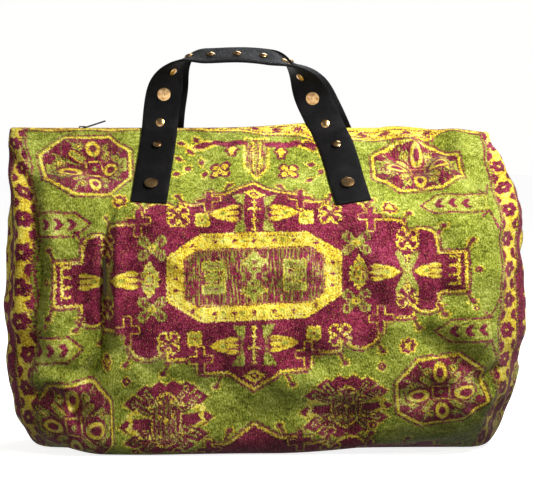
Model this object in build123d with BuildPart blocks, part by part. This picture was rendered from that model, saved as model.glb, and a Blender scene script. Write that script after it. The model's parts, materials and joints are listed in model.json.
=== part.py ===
from build123d import *
from math import acos, atan2, cos, degrees, radians, sin
import os

# A soft carpet holdall, standing on its base. Millimetres.
# X runs along the bag, -Y is its front, Z is up; the origin is the middle of the base.
os.makedirs("parts", exist_ok=True)

# Carpet body. It is widest at the belly; above the shoulder it leans in like a roof, to the zip.
bag_height = 340.0
belly_height = 120.0
shoulder_drop = 82.0
base_length = 500.0
belly_length = 532.0
shoulder_length = 524.0
top_length = 500.0
base_depth = 196.0
belly_depth = 222.0
shoulder_depth = 206.0
top_depth = 24.0
base_corner = 62.0
belly_corner = 70.0
shoulder_corner = 60.0
top_corner = 10.0
base_roll = 48.0
top_roll = 5.0
carpet_thickness = 4.0

# Zip along the middle of the top.
zip_end_margin = 34.0
zip_slot_width = 12.0
tape_width = 10.8
tape_thickness = 1.0
tape_end_lap = 6.0
coil_gap = 1.2
coil_width = 2.6
coil_height = 1.5
coil_web_height = 0.9
coil_web_width = 2.0
coil_pitch = 2.5
coil_rib_length = 1.2
coil_end_margin = 5.0
stop_length = 3.0

# Slider and pull.
slider_length = 10.0
slider_plate = 1.0
slider_clearance = 0.2
slider_wall = 1.1
slider_start_margin = 24.0
bridge_length = 2.5
bail_length = 7.6
bail_width = 2.0
bail_bar = 1.2
bail_height = 3.6
pull_length = 26.0
pull_width = 9.0
pull_corner = 3.2
pull_bar_radius = 0.8
pull_arm_length = 8.0
pull_arm_width = 1.4
pull_arm_lap = 2.0
pull_clearance = 0.3
pull_rise = 18.0

# Strap handles. They are riveted to the face below the hinge line and stand free above it.
strap_width = 38.0
strap_thickness = 3.0
hinge_drop = 12.0
hinge_gap = 0.4
hinge_straight = 8.0
hinge_bend_radius = 25.0
face_relief = 0.3
strap_end_drop = 94.0
strap_twist = 112.0
twist_start = 38.0
twist_end = 121.0
arch_set_forward = 10.0
rear_handle_shift = 6.0
strap_sections = 48

# Double-cap rivets, used as studs.
large_cap_radius = 7.0
small_cap_radius = 4.5
large_cap_height = 3.2
small_cap_height = 2.4
cap_rim = 0.6
back_cap_height = 1.6
post_radius = 1.6
large_sewn_stud_drop = 70.0
small_sewn_stud_drop = 11.7
large_stud_place = 53.0
small_stud_places = (22.0, 79.0, 103.0, 126.0)


# ---------------------------------------------------------------- carpet body
shoulder_height = bag_height - shoulder_drop
carpet_rows = (
    (0.0, base_length / 2, base_depth / 2, base_corner),
    (belly_height, belly_length / 2, belly_depth / 2, belly_corner),
    (shoulder_height, shoulder_length / 2, shoulder_depth / 2, shoulder_corner),
    (bag_height, top_length / 2, top_depth / 2, top_corner),
)


def row_at(height):
    """Half length, half depth and corner radius of the carpet's outside at a height."""
    for low, high in zip(carpet_rows, carpet_rows[1:]):
        if height <= high[0]:
            share = (height - low[0]) / (high[0] - low[0])
            return [a + (b - a) * share for a, b in zip(low[1:], high[1:])]


def carpet_form(inset):
    """The closed form of the carpet, drawn in by inset on every side."""
    with BuildPart() as form:
        for height in (inset, belly_height, shoulder_height, bag_height - inset):
            half_length, half_depth, corner = row_at(height)
            with BuildSketch(Plane.XY.offset(height)):
                RectangleRounded(2 * (half_length - inset), 2 * (half_depth - inset), corner - inset)
        loft(ruled=True)
        fillet(form.edges().group_by(Axis.Z)[0], base_roll - inset)
        fillet(form.edges().group_by(Axis.Z)[-1], top_roll - inset)
    return form.part


# ---------------------------------------------------------------- handle line
hinge_height = bag_height - hinge_drop
face_slope = atan2((shoulder_depth - top_depth) / 2, shoulder_drop)
face_plane = Plane(
    origin=(0, -row_at(hinge_height)[1], hinge_height),
    x_dir=(1, 0, 0),
    z_dir=(0, -cos(face_slope), sin(face_slope)),
)

# Middle line of the strap as it would lie if the legs were not bent at the hinge line:
# X, and distance from the hinge line, up the roof face or down it.
handle_points = [
    (-118, -strap_end_drop),
    (-114, -strap_end_drop / 2),
    (-110, 0),
    (-104.5, 53),
    (-96, 76),
    (-82, 90),
    (-58, 93.5),
    (-30, 94.5),
    (0, 92.5),
    (22, 87),
    (40, 73),
    (54, 48),
    (75.5, 0),
    (86, -strap_end_drop / 2),
    (95.5, -strap_end_drop),
]
with BuildLine() as handle_line:
    Spline(*handle_points)
strap_line = handle_line.edge()
strap_length = strap_line.length


def length_at_hinge(first, last):
    """Distance along the strap line at which it crosses the hinge line, found by halving."""
    rising = strap_line.position_at(first, PositionMode.LENGTH).Y < 0
    for _ in range(40):
        middle = (first + last) / 2
        below = strap_line.position_at(middle, PositionMode.LENGTH).Y < 0
        if below == rising:
            first = middle
        else:
            last = middle
    return (first + last) / 2


left_hinge = length_at_hinge(0, strap_length / 2)
right_hinge = length_at_hinge(strap_length / 2, strap_length)
middle_of_loop = (left_hinge + right_hinge) / 2


def turn_share(distance):
    """0 on the legs and 1 on the arch, changing smoothly over the shoulders."""
    from_hinge = min(distance - left_hinge, right_hinge - distance)
    share = min(max((from_hinge - twist_start) / (twist_end - twist_start), 0), 1)
    return share * share * (3 - 2 * share)


def bend_at(height):
    """Angle by which the strap has turned from the roof face towards upright."""
    return min(max((height - hinge_straight) / hinge_bend_radius, 0), face_slope)


def strap_centre(distance):
    """Middle of the strap in the face plane's own axes."""
    point = strap_line.position_at(distance, PositionMode.LENGTH)
    bend = bend_at(point.Y)
    straight = point.Y - hinge_straight - hinge_bend_radius * bend
    up_face = hinge_straight + hinge_bend_radius * sin(bend) + straight * cos(bend)
    off_face = hinge_bend_radius * (1 - cos(bend)) + straight * sin(bend) + strap_thickness / 2
    forward = arch_set_forward * turn_share(distance)
    return Vector(point.X, up_face - forward * sin(bend), off_face + forward * cos(bend))


def strap_frame(distance, lift=0.0, facing=False):
    """Plane across the strap at a distance along it, or with facing the plane of its outer side."""
    step = 0.5
    before = strap_centre(max(distance - step, 0))
    after = strap_centre(min(distance + step, strap_length))
    along = (after - before).normalized()
    bend = bend_at(strap_line.position_at(distance, PositionMode.LENGTH).Y)
    upright = Vector(0, cos(bend), sin(bend))
    outward = (Vector(-along.dot(upright), 0, 0) + upright * along.X).normalized()
    front = outward.cross(along).normalized()
    outward = along.cross(front)
    turn = radians(strap_twist) * turn_share(distance)
    normal = front * cos(turn) + outward * sin(turn)
    centre = strap_centre(distance) + normal * lift
    place = face_plane.from_local_coords(centre)
    heading = face_plane.from_local_coords(centre + along) - place
    facing_way = face_plane.from_local_coords(centre + normal) - place
    if facing:
        return Plane(origin=place, x_dir=heading, z_dir=facing_way)
    return Plane(origin=place, x_dir=facing_way.cross(heading), z_dir=heading)


def strap_blank():
    """The whole strap, from one sewn end over the arch to the other."""
    with BuildPart() as blank:
        for index in range(strap_sections + 1):
            with BuildSketch(strap_frame(strap_length * index / strap_sections)):
                Rectangle(strap_width, strap_thickness)
        loft(ruled=True)
    return blank.part


# ---------------------------------------------------------------- studs
def dome(cap_radius, cap_height):
    """A low domed cap standing on the plane Z = 0."""
    crown = cap_height - cap_rim
    ball_radius = (cap_radius**2 + crown**2) / (2 * crown)
    edge_angle = degrees(acos(cap_radius / ball_radius))
    with BuildPart() as cap:
        with BuildSketch(Plane.XZ):
            with BuildLine():
                Line((0, cap_height), (0, 0))
                Line((0, 0), (cap_radius, 0))
                Line((cap_radius, 0), (cap_radius, cap_rim))
                CenterArc((0, cap_height - ball_radius), ball_radius, edge_angle, 90 - edge_angle)
            make_face()
        revolve(axis=Axis.Z)
    return cap.part


def stud_cap(cap_radius, cap_height, post_length):
    """A domed cap on the plane Z = 0 with its post going down."""
    with BuildPart() as cap:
        add(dome(cap_radius, cap_height))
        with BuildSketch(Plane.XY):
            Circle(post_radius)
        extrude(amount=-post_length)
    return cap.part


def stud_back(cap_radius, post_length):
    """The low cap that closes the post from the other side."""
    with BuildPart() as back:
        with Locations(Location((0, 0, -post_length), (180, 0, 0))):
            add(dome(cap_radius, back_cap_height))
    return back.part


sewn_post = strap_thickness + carpet_thickness * cos(face_slope)


def leg_planes(drop):
    """Outer side of both sewn ends, a distance below the hinge line along each leg."""
    return [
        strap_frame(left_hinge - drop, strap_thickness / 2, facing=True),
        strap_frame(right_hinge + drop, strap_thickness / 2, facing=True),
    ]


def loop_planes(place):
    """Outer side of the loop, a distance above the hinge line along each leg."""
    return [
        strap_frame(left_hinge + place, strap_thickness / 2, facing=True),
        strap_frame(right_hinge - place, strap_thickness / 2, facing=True),
    ]


small_loop_planes = [strap_frame(middle_of_loop, strap_thickness / 2, facing=True)]
for place in small_stud_places:
    small_loop_planes += loop_planes(place)

with BuildPart() as front_sewn_studs:
    with Locations(*leg_planes(large_sewn_stud_drop)):
        add(stud_cap(large_cap_radius, large_cap_height, sewn_post))
    with Locations(*leg_planes(small_sewn_stud_drop)):
        add(stud_cap(small_cap_radius, small_cap_height, sewn_post))

with BuildPart() as front_sewn_backs:
    with Locations(*leg_planes(large_sewn_stud_drop)):
        add(stud_back(large_cap_radius, sewn_post))
    with Locations(*leg_planes(small_sewn_stud_drop)):
        add(stud_back(small_cap_radius, sewn_post))

with BuildPart() as front_large_studs:
    with Locations(*loop_planes(large_stud_place)):
        add(stud_cap(large_cap_radius, large_cap_height, strap_thickness))

with BuildPart() as front_small_studs:
    with Locations(*small_loop_planes):
        add(stud_cap(small_cap_radius, small_cap_height, strap_thickness))

with BuildPart() as front_stud_backs:
    with Locations(*loop_planes(large_stud_place)):
        add(stud_back(large_cap_radius, strap_thickness))
    with Locations(*small_loop_planes):
        add(stud_back(small_cap_radius, strap_thickness))


# ---------------------------------------------------------------- straps
hinge_cut = Plane(origin=face_plane.origin, x_dir=(1, 0, 0), z_dir=face_plane.y_dir)
whole_strap = strap_blank()

with BuildPart() as front_handle_strap:
    add(whole_strap)
    split(bisect_by=hinge_cut.offset(hinge_gap / 2), keep=Keep.TOP)
    with BuildSketch(face_plane.offset(face_relief)):
        Rectangle(top_length, 4 * hinge_drop)
    extrude(amount=-2 * strap_thickness, mode=Mode.SUBTRACT)
    add(front_large_studs.part, mode=Mode.SUBTRACT)
    add(front_small_studs.part, mode=Mode.SUBTRACT)
    add(front_stud_backs.part, mode=Mode.SUBTRACT)

with BuildPart() as front_strap_ends:
    add(whole_strap)
    split(bisect_by=hinge_cut.offset(-hinge_gap / 2), keep=Keep.BOTTOM)
    add(front_sewn_studs.part, mode=Mode.SUBTRACT)

with BuildPart() as front_strap_end_left:
    add(front_strap_ends.solids().sort_by(Axis.X)[0])

with BuildPart() as front_strap_end_right:
    add(front_strap_ends.solids().sort_by(Axis.X)[-1])


def to_rear(part):
    """Mirror image of a front piece, on the rear face."""
    return part.mirror(Plane.XZ)


rear_place = Location((rear_handle_shift, 0, 0))

with BuildPart() as rear_handle_strap:
    with Locations(rear_place):
        add(to_rear(front_handle_strap.part))

with BuildPart() as rear_strap_end_left:
    with Locations(rear_place):
        add(to_rear(front_strap_end_left.part))

with BuildPart() as rear_strap_end_right:
    with Locations(rear_place):
        add(to_rear(front_strap_end_right.part))

with BuildPart() as rear_sewn_studs:
    with Locations(rear_place):
        add(to_rear(front_sewn_studs.part))

with BuildPart() as rear_sewn_backs:
    with Locations(rear_place):
        add(to_rear(front_sewn_backs.part))

with BuildPart() as rear_large_studs:
    with Locations(rear_place):
        add(to_rear(front_large_studs.part))

with BuildPart() as rear_small_studs:
    with Locations(rear_place):
        add(to_rear(front_small_studs.part))

with BuildPart() as rear_stud_backs:
    with Locations(rear_place):
        add(to_rear(front_stud_backs.part))


# ---------------------------------------------------------------- carpet
zip_slot_length = top_length - 2 * zip_end_margin

with BuildPart() as carpet_body:
    add(carpet_form(0))
    add(carpet_form(carpet_thickness), mode=Mode.SUBTRACT)
    with BuildSketch(Plane.XY.offset(bag_height - 2 * carpet_thickness)):
        SlotOverall(zip_slot_length, zip_slot_width)
    extrude(amount=3 * carpet_thickness, mode=Mode.SUBTRACT)
    add(front_sewn_studs.part, mode=Mode.SUBTRACT)
    add(rear_sewn_studs.part, mode=Mode.SUBTRACT)


# ---------------------------------------------------------------- zip
tape_top = bag_height - carpet_thickness
tape_bottom = tape_top - tape_thickness
tape_length = zip_slot_length + 2 * tape_end_lap
coil_length = zip_slot_length - zip_slot_width - 2 * coil_end_margin
coil_ribs = int((coil_length - coil_rib_length) / coil_pitch) + 1

with BuildPart() as zip_tape_front:
    with Locations((0, -(coil_gap + tape_width) / 2, tape_bottom)):
        Box(tape_length, tape_width, tape_thickness, align=(Align.CENTER, Align.CENTER, Align.MIN))

with BuildPart() as zip_tape_rear:
    mirror(zip_tape_front.part, about=Plane.XZ)

with BuildPart() as zip_coil_front:
    with Locations((0, -coil_gap / 2 - coil_width, tape_top)):
        Box(coil_length, coil_web_width, coil_web_height, align=(Align.CENTER, Align.MIN, Align.MIN))
    with Locations((0, -(coil_gap + coil_width) / 2, tape_top + coil_height / 2)):
        with GridLocations(coil_pitch, 0, coil_ribs, 1):
            Box(coil_rib_length, coil_width, coil_height)

with BuildPart() as zip_coil_rear:
    mirror(zip_coil_front.part, about=Plane.XZ)

with BuildPart() as zip_end_stops:
    with Locations((0, 0, tape_top)):
        with GridLocations(coil_length + stop_length + 1, 0, 2, 1):
            Box(
                stop_length,
                coil_gap + 2 * coil_width,
                coil_height,
                align=(Align.CENTER, Align.CENTER, Align.MIN),
            )

# The slider: two plates joined by a thin bridge that runs in the gap between the coils.
slider_x = -zip_slot_length / 2 + slider_start_margin
coil_half = coil_gap / 2 + coil_width
slider_half = coil_half + slider_clearance + slider_wall
slider_under = tape_bottom - slider_clearance - slider_plate
slider_over = tape_top + coil_height + slider_clearance
slider_top = slider_over + slider_plate
CENTRED_UP = (Align.CENTER, Align.CENTER, Align.MIN)

with BuildPart() as zip_slider:
    with Locations((slider_x, 0, slider_over)):
        Box(slider_length, 2 * slider_half, slider_plate, align=CENTRED_UP)
    with Locations((slider_x, 0, slider_under)):
        Box(slider_length, 2 * slider_half, slider_plate, align=CENTRED_UP)
        Box(bridge_length, coil_gap - 2 * slider_clearance, slider_top - slider_under, align=CENTRED_UP)
    for side in (-1, 1):
        with Locations((slider_x, side * (slider_half - slider_wall / 2), tape_top + slider_clearance)):
            Box(slider_length, slider_wall, slider_top - tape_top - slider_clearance, align=CENTRED_UP)
    with Locations((slider_x, 0, slider_top)):
        Box(bail_length, bail_width, bail_height, align=CENTRED_UP)
        Box(
            bail_length - 2 * bail_bar,
            bail_width,
            bail_height - bail_bar,
            align=CENTRED_UP,
            mode=Mode.SUBTRACT,
        )
    fillet(zip_slider.edges().filter_by(Axis.Y).group_by(Axis.Z)[-1], bail_bar * 0.8)

# The pull turns about its cross bar, which lies under the slider's bail.
pull_axis_height = slider_top + slider_clearance + pull_bar_radius
pull_plane = Plane(origin=(slider_x, 0, pull_axis_height)).rotated((0, -pull_rise, 0))
arm_inside = bail_width / 2 + pull_clearance

with BuildPart() as zip_pull:
    with BuildSketch(pull_plane.offset(-pull_bar_radius)):
        with Locations(((pull_length + pull_arm_length) / 2, 0)):
            RectangleRounded(pull_length - pull_arm_length, pull_width, pull_corner)
        with Locations(((pull_arm_length + pull_arm_lap) / 2, 0)):
            Rectangle(pull_arm_length + pull_arm_lap, 2 * (arm_inside + pull_arm_width))
        with Locations((0, 0)):
            Rectangle(2 * pull_arm_length, 2 * arm_inside, mode=Mode.SUBTRACT)
    extrude(amount=2 * pull_bar_radius)
    with Locations(pull_plane):
        Cylinder(pull_bar_radius, 2 * (arm_inside + pull_arm_width), rotation=(90, 0, 0))

pieces = {
    "carpet_body": carpet_body,
    "zip_tape_front": zip_tape_front,
    "zip_tape_rear": zip_tape_rear,
    "zip_coil_front": zip_coil_front,
    "zip_coil_rear": zip_coil_rear,
    "zip_end_stops": zip_end_stops,
    "zip_slider": zip_slider,
    "zip_pull": zip_pull,
    "front_handle_strap": front_handle_strap,
    "front_strap_end_left": front_strap_end_left,
    "front_strap_end_right": front_strap_end_right,
    "front_large_studs": front_large_studs,
    "front_small_studs": front_small_studs,
    "front_stud_backs": front_stud_backs,
    "front_sewn_studs": front_sewn_studs,
    "front_sewn_backs": front_sewn_backs,
    "rear_handle_strap": rear_handle_strap,
    "rear_strap_end_left": rear_strap_end_left,
    "rear_strap_end_right": rear_strap_end_right,
    "rear_large_studs": rear_large_studs,
    "rear_small_studs": rear_small_studs,
    "rear_stud_backs": rear_stud_backs,
    "rear_sewn_studs": rear_sewn_studs,
    "rear_sewn_backs": rear_sewn_backs,
}
for name, piece in pieces.items():
    piece.part.label = name
    export_step(piece.part, f"parts/{name}.step")
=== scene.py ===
import functools
import json
import math
import bpy
import numpy as np
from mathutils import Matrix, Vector

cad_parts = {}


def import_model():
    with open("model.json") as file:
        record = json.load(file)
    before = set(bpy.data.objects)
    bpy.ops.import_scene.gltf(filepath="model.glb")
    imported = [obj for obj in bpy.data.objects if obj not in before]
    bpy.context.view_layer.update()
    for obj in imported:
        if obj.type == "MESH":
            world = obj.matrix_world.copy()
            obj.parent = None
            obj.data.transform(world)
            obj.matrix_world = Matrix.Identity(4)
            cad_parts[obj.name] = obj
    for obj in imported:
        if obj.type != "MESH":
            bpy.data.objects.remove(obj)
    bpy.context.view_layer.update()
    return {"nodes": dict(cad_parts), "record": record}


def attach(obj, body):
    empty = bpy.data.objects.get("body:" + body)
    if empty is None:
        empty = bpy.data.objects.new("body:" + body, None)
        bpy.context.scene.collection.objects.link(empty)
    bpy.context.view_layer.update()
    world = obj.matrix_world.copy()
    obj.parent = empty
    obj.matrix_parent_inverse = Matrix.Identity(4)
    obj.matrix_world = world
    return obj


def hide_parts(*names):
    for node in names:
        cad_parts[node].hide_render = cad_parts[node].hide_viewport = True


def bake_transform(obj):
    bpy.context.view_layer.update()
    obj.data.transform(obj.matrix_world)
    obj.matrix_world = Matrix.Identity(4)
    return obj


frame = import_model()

# A carpet bag around its CAD frame. Lengths in this file are millimetres until they meet Blender.
MM = 0.001

# ---- small helpers


def ramp(x, low, high):
    """0 below low, 1 above high, smooth between."""
    t = np.clip((np.asarray(x, float) - low) / (high - low), 0, 1)
    return t * t * (3 - 2 * t)


def add_mesh(name, points, faces):
    mesh = bpy.data.meshes.new(name)
    mesh.from_pydata([tuple(p) for p in np.asarray(points) * MM], [], faces)
    mesh.validate()
    mesh.polygons.foreach_set("use_smooth", [True] * len(mesh.polygons))
    piece = bpy.data.objects.new(name, mesh)
    bpy.context.scene.collection.objects.link(piece)
    return piece


def grid_faces(rows, columns):
    """Quads of a rows by columns grid of points."""
    index = np.arange(rows * columns).reshape(rows, columns)
    quads = np.stack([index[:-1, :-1], index[:-1, 1:], index[1:, 1:], index[1:, :-1]], axis=-1)
    return quads.reshape(-1, 4).tolist()


def unit(vectors):
    """Vectors brought to length 1."""
    return vectors / np.maximum(np.linalg.norm(vectors, axis=-1, keepdims=True), 1e-9)


def grid_normals(points):
    """Outward unit normals of a grid of points."""
    return unit(np.cross(np.gradient(points, axis=0), np.gradient(points, axis=1)))


def running_length(points):
    """The length of a broken line up to each of its points."""
    return np.concatenate([[0], np.cumsum(np.linalg.norm(np.diff(points, axis=0), axis=1))])


def resample(at, run, values):
    """Rows of values, known at run, read off at other places."""
    return np.stack([np.interp(at, run, column) for column in values.T], axis=1)


# ---- form of the bag
# Corners of the front's section, from the hem at the zip down to the middle of the base:
# half depth, height, half length and corner radius of the level there.
SECTION = np.array([
    (6.3, 336.4, 216.0, 6.2),
    (6.8, 339.0, 218.0, 6.6),
    (12.0, 340.6, 252.0, 11.0),
    (110.5, 251.5, 264.0, 58.0),
    (114.0, 116.0, 267.0, 70.0),
    (102.0, 0.0, 252.0, 62.0),
    (0.0, 0.0, 153.0, 0.0),
])
# How the columns of the grid are shared out between half the face, the corner and half the end.
REF_FACE, REF_ARC, REF_END = 197.0, 110.0, 42.0


def section_rows(step):
    """The section with its corners rounded, as rows step apart, and each row's distance from the zip."""
    at = running_length(SECTION[:, :2])
    fine = np.arange(0, at[-1], 0.5)
    dense = resample(fine, at, SECTION)
    blur = np.interp(fine, [0, 12, 60, at[3], at[4], at[5], at[5] + 60, at[-1]],
                     [0.6, 1.6, 8, 13, 30, 19, 12, 2])
    weight = np.exp(-0.5 * ((fine[None, :] - fine[:, None]) / blur[:, None]) ** 2)
    smooth = weight @ dense / weight.sum(axis=1, keepdims=True)
    smooth[-1] = SECTION[-1]
    run = running_length(smooth[:, :2])
    rows = np.linspace(0, run[-1], int(run[-1] / step) + 1)
    return resample(rows, run, smooth), rows


def half_form(step):
    """Front half of the bag before it sags: points, and the cloth's own coordinates there."""
    level, rows = section_rows(step)
    reach = REF_FACE + REF_ARC + REF_END
    s = np.linspace(-reach, reach, 2 * int(reach / step) + 1)[None, :]
    side, far = np.sign(s), np.abs(s)
    depth, height, length, corner = [level[:, k][:, None] for k in range(4)]
    corner = np.minimum(corner, depth)
    flat = length - corner
    on_face = np.clip(far / REF_FACE, 0, 1)
    angle = np.clip((far - REF_FACE) / REF_ARC, 0, 1) * math.pi / 2
    on_end = np.clip((far - REF_FACE - REF_ARC) / REF_END, 0, 1)
    x = side * (on_face * flat + corner * np.sin(angle))
    y = -((depth - corner) * (1 - on_end) + corner * np.cos(angle))
    z = height + 0 * s
    u = side * (on_face * flat + corner * angle + (depth - corner) * on_end)
    v = rows[:, None] + 0 * s
    return np.stack([x, y, z], axis=-1), u, v


def along_line(u, z, line):
    """Distance to a broken line in the u, z plane, and the share of the line's length there."""
    line = np.asarray(line, float)
    legs = np.diff(line, axis=0)
    size = np.linalg.norm(legs, axis=1)
    total = size.sum()
    best = np.full(u.shape, 1e9)
    share = np.zeros(u.shape)
    done = 0.0
    for start, leg, n in zip(line, legs, size):
        t = np.clip(((u - start[0]) * leg[0] + (z - start[1]) * leg[1]) / (n * n), 0, 1)
        d = np.hypot(u - start[0] - t * leg[0], z - start[1] - t * leg[1])
        nearer = d < best
        best = np.where(nearer, d, best)
        share = np.where(nearer, (done + t * n) / total, share)
        done += n
    return best, share


def fold(u, z, line, width, depth):
    """A groove with soft shoulders along a broken line, fading out at its ends."""
    d, share = along_line(u, z, line)
    fade = np.sqrt(np.clip(np.sin(math.pi * np.clip(share, 0, 1)), 0, 1))
    groove = -1.25 * depth * np.exp(-(d / width) ** 2)
    shoulder = 0.5 * depth * np.exp(-((d - 2.2 * width) / (1.2 * width)) ** 2)
    return (groove + shoulder) * fade


# Folds as lines of (distance round the bag from the middle of the face, height), width and depth.
END_FOLDS = [
    ([(300, 250), (312, 170), (300, 90)], 12.0, 5.0),
    ([(-304, 260), (-314, 180), (-300, 80)], 12.0, 5.0),
]
FRONT_FOLDS = [
    ([(-156, 270), (-161, 225), (-164, 160), (-160, 112)], 5.5, 10.0),
    ([(248, 96), (226, 74), (214, 40)], 7.0, 7.0),
    ([(-246, 60), (-214, 66), (-180, 40)], 8.0, 6.0),
    ([(-160, 128), (-174, 96), (-190, 62), (-196, 36)], 7.0, 9.0),
    ([(-262, 322), (-240, 280), (-230, 200), (-234, 130), (-256, 80)], 9.0, 9.0),
    ([(-236, 300), (-200, 306), (-160, 290)], 9.0, 6.0),
    ([(-226, 96), (-190, 88), (-160, 92)], 9.0, 5.0),
    ([(108, 312), (140, 318), (168, 306), (192, 334)], 11.0, 11.0),
    ([(196, 330), (206, 306), (232, 288)], 8.0, 6.0),
    ([(160, 130), (212, 100), (240, 62)], 12.0, 8.0),
    ([(130, 60), (180, 66), (228, 84)], 12.0, 6.0),
    ([(-130, 92), (-60, 74), (10, 84)], 14.0, 4.5),
    ([(20, 120), (70, 96), (130, 100)], 14.0, 4.0),
    ([(252, 250), (262, 190), (258, 120)], 10.0, 3.0),
    ([(-60, 40), (0, 52), (70, 46), (150, 34)], 16.0, 3.0),
    ([(-88, 262), (-70, 230), (-66, 200)], 13.0, 2.2),
    ([(60, 262), (40, 236), (34, 205)], 14.0, 2.2),
    *END_FOLDS,
    ([(225, 330), (236, 290), (262, 250)], 10.0, 4.0),
]
BACK_FOLDS = [
    ([(150, 270), (158, 200), (150, 120)], 8.0, 5.0),
    ([(-140, 320), (-168, 300), (-196, 312)], 11.0, 6.0),
    ([(-180, 118), (-214, 90), (-236, 58)], 13.0, 5.0),
    ([(238, 290), (232, 200), (246, 110)], 9.0, 5.5),
    ([(-240, 280), (-236, 190), (-246, 110)], 9.0, 5.0),
    ([(-60, 60), (20, 46), (90, 56)], 16.0, 3.0),
    ([(-20, 260), (0, 220), (-8, 180)], 15.0, 2.5),
    *END_FOLDS,
]
FRONT_SEED, BACK_SEED = 11, 23
# Low waves all over: how many, shortest and longest wave, height.
WAVES = ((9, 60, 150, 1.15), (10, 22, 45, 0.30))
# Where the riveted strap ends hold the cloth flat: X range and lowest height.
STRAP_ENDS = ((-140, -92), (60, 118))
STRAP_FOOT = 262.0
REAR_SHIFT = 6.0

SEAM_DEPTH, SEAM_WIDTH = 2.6, 3.0
BELLY, LEFT_STEP = 3.0, 10.0
EAR_LEFT, EAR_RIGHT, EAR_RISE, EAR_DROP = 17, 10, 1.0, 4
BULGE_LEFT, BULGE_RIGHT = 8.0, 9.0
CREST_FRONT, CREST_BACK = 6.5, 6.0
SPILL, LIFT_LEFT, LIFT_RIGHT, TUCK = 9.0, 13, 17, 14


def sag(points, u, v, folds, seed, rear):
    """Gives the form its slack: folds, waves, ears at the zip's ends and a lifted corner."""
    x, y, z = points[..., 0], points[..., 1], points[..., 2]
    shift = REAR_SHIFT if rear else 0.0
    held = np.zeros(x.shape)
    for low, high in STRAP_ENDS:
        across = ramp(x, low + shift - 22, low + shift) * (1 - ramp(x, high + shift, high + shift + 22))
        held = np.maximum(held, across * ramp(z, STRAP_FOOT - 34, STRAP_FOOT))
    free = (1 - held) * ramp(v, 8, 40)
    rise = np.zeros(x.shape)
    for line, width, depth in folds:
        rise += fold(u, z, line, width, depth)
    draw = np.random.RandomState(seed)
    for count, shortest, longest, height in WAVES:
        for _ in range(count):
            wave = draw.uniform(shortest, longest)
            turn = draw.uniform(0, math.pi)
            along = u * math.cos(turn) + z * math.sin(turn)
            rise += height * np.sin(2 * math.pi * along / wave + draw.uniform(0, 6.3))
    # The slack belly swells a little between the creases.
    rise += BELLY * np.exp(-((u - 20) / 120) ** 2 - ((z - 150) / 70) ** 2)
    if not rear:
        back = (1 - ramp(u, -168, -157)) * (1 - 0.6 * ramp(-u, 185, 240))
        rise -= LEFT_STEP * back * ramp(z, 70, 130) * (1 - ramp(z, 240, 290))
    from_seam = np.max(np.abs(u), axis=1, keepdims=True) - np.abs(u)
    rise *= free * ramp(z, 1, 26) * ramp(from_seam, 0, 26)
    rise -= SEAM_DEPTH * np.exp(-(from_seam / SEAM_WIDTH) ** 2) * ramp(v, 20, 40)
    moved = points + grid_normals(points) * rise[..., None]
    # Ears: the closed ends of the zip stand out and up, and the seam is pulled in below them.
    upper = ramp(z, 262, 338)
    left = ramp(-x, 150, 250) * upper
    right = ramp(x, 150, 250) * upper
    moved[..., 0] += -EAR_LEFT * left - EAR_RIGHT * right
    # The ends bulge between base and shoulder.
    bulge = ramp(z, 4, 70) * (1 - ramp(z, 236, 318))
    moved[..., 0] += bulge * (BULGE_RIGHT * ramp(x, 170, 262) - BULGE_LEFT * ramp(-x, 170, 262))
    moved[..., 2] += EAR_RISE * left * ramp(-x, 215, 262) - EAR_DROP * right * ramp(x, 200, 250)
    crest = np.exp(-((x - 72) / 66) ** 2) * ramp(z, 310, 338)
    moved[..., 2] += (CREST_BACK if rear else CREST_FRONT) * crest * (1 - held)
    dip = np.exp(-((x - 188) / 20) ** 2)
    moved[..., 2] -= (2.0 + 6.0 * ramp(v, 12, 26)) * dip * ramp(z, 290, 330)
    if not rear:
        spill = np.exp(-((x + 130) / 85) ** 2) * np.exp(-(z / 34) ** 2) * ramp(-y, 50, 92)
        moved[..., 1] -= SPILL * spill
        moved[..., 2] *= 1 - 0.55 * spill
        lift = np.exp(-(z / 48) ** 2) * ramp(-y, 20, 85)
        moved[..., 2] += (LIFT_RIGHT * ramp(x, 10, 235) + LIFT_LEFT * ramp(-x, 165, 245)) * lift
        tuck = ramp(x, 205, 262) * np.exp(-((z - 10) / 52) ** 2) * ramp(-y, 4, 70)
        moved[..., 0] -= TUCK * tuck
    moved[..., 2] = np.maximum(moved[..., 2], 0.0)
    return moved


# ---- the pile's pattern
# The cloth's own plane: p runs to the right from the middle of the medallion, q runs down from it.
MEDALLION_LEFT = -8.0
MEDALLION_DROP = 202.0
FOLD_TAKE_UP = 12.0
WEAVE_SHEAR, SHEAR_GROWTH = 0.035, 0.00025
MEDALLION_PITCH = 264.0
OCTAGON_TURN = -0.06
# A distance at which a layer doesn't show.
FAR = 6.0
SIDES = (-1, 1)
QUARTERS = ((-1, -1), (-1, 1), (1, -1), (1, 1))


def cloth_plane(u, v, rear):
    p = u - MEDALLION_LEFT
    if not rear:
        p = p - FOLD_TAKE_UP * ramp(-u, 150, 172)
    q = v - MEDALLION_DROP
    return p, q + p * (WEAVE_SHEAR + SHEAR_GROWTH * np.clip(q, -140, 160))


def union(*shapes):
    return functools.reduce(np.minimum, shapes)


def overlap(*shapes):
    return functools.reduce(np.maximum, shapes)


def ellipse(x, y, a, b):
    k = np.hypot(x / a, y / b)
    return (k - 1) * min(a, b)


def block(x, y, a, b):
    dx, dy = np.abs(x) - a, np.abs(y) - b
    return np.hypot(overlap(dx, 0), overlap(dy, 0)) + union(overlap(dx, dy), 0)


def lozenge(x, y, a, b):
    return (np.abs(x) / a + np.abs(y) / b - 1) * a * b / math.hypot(a, b)


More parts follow.
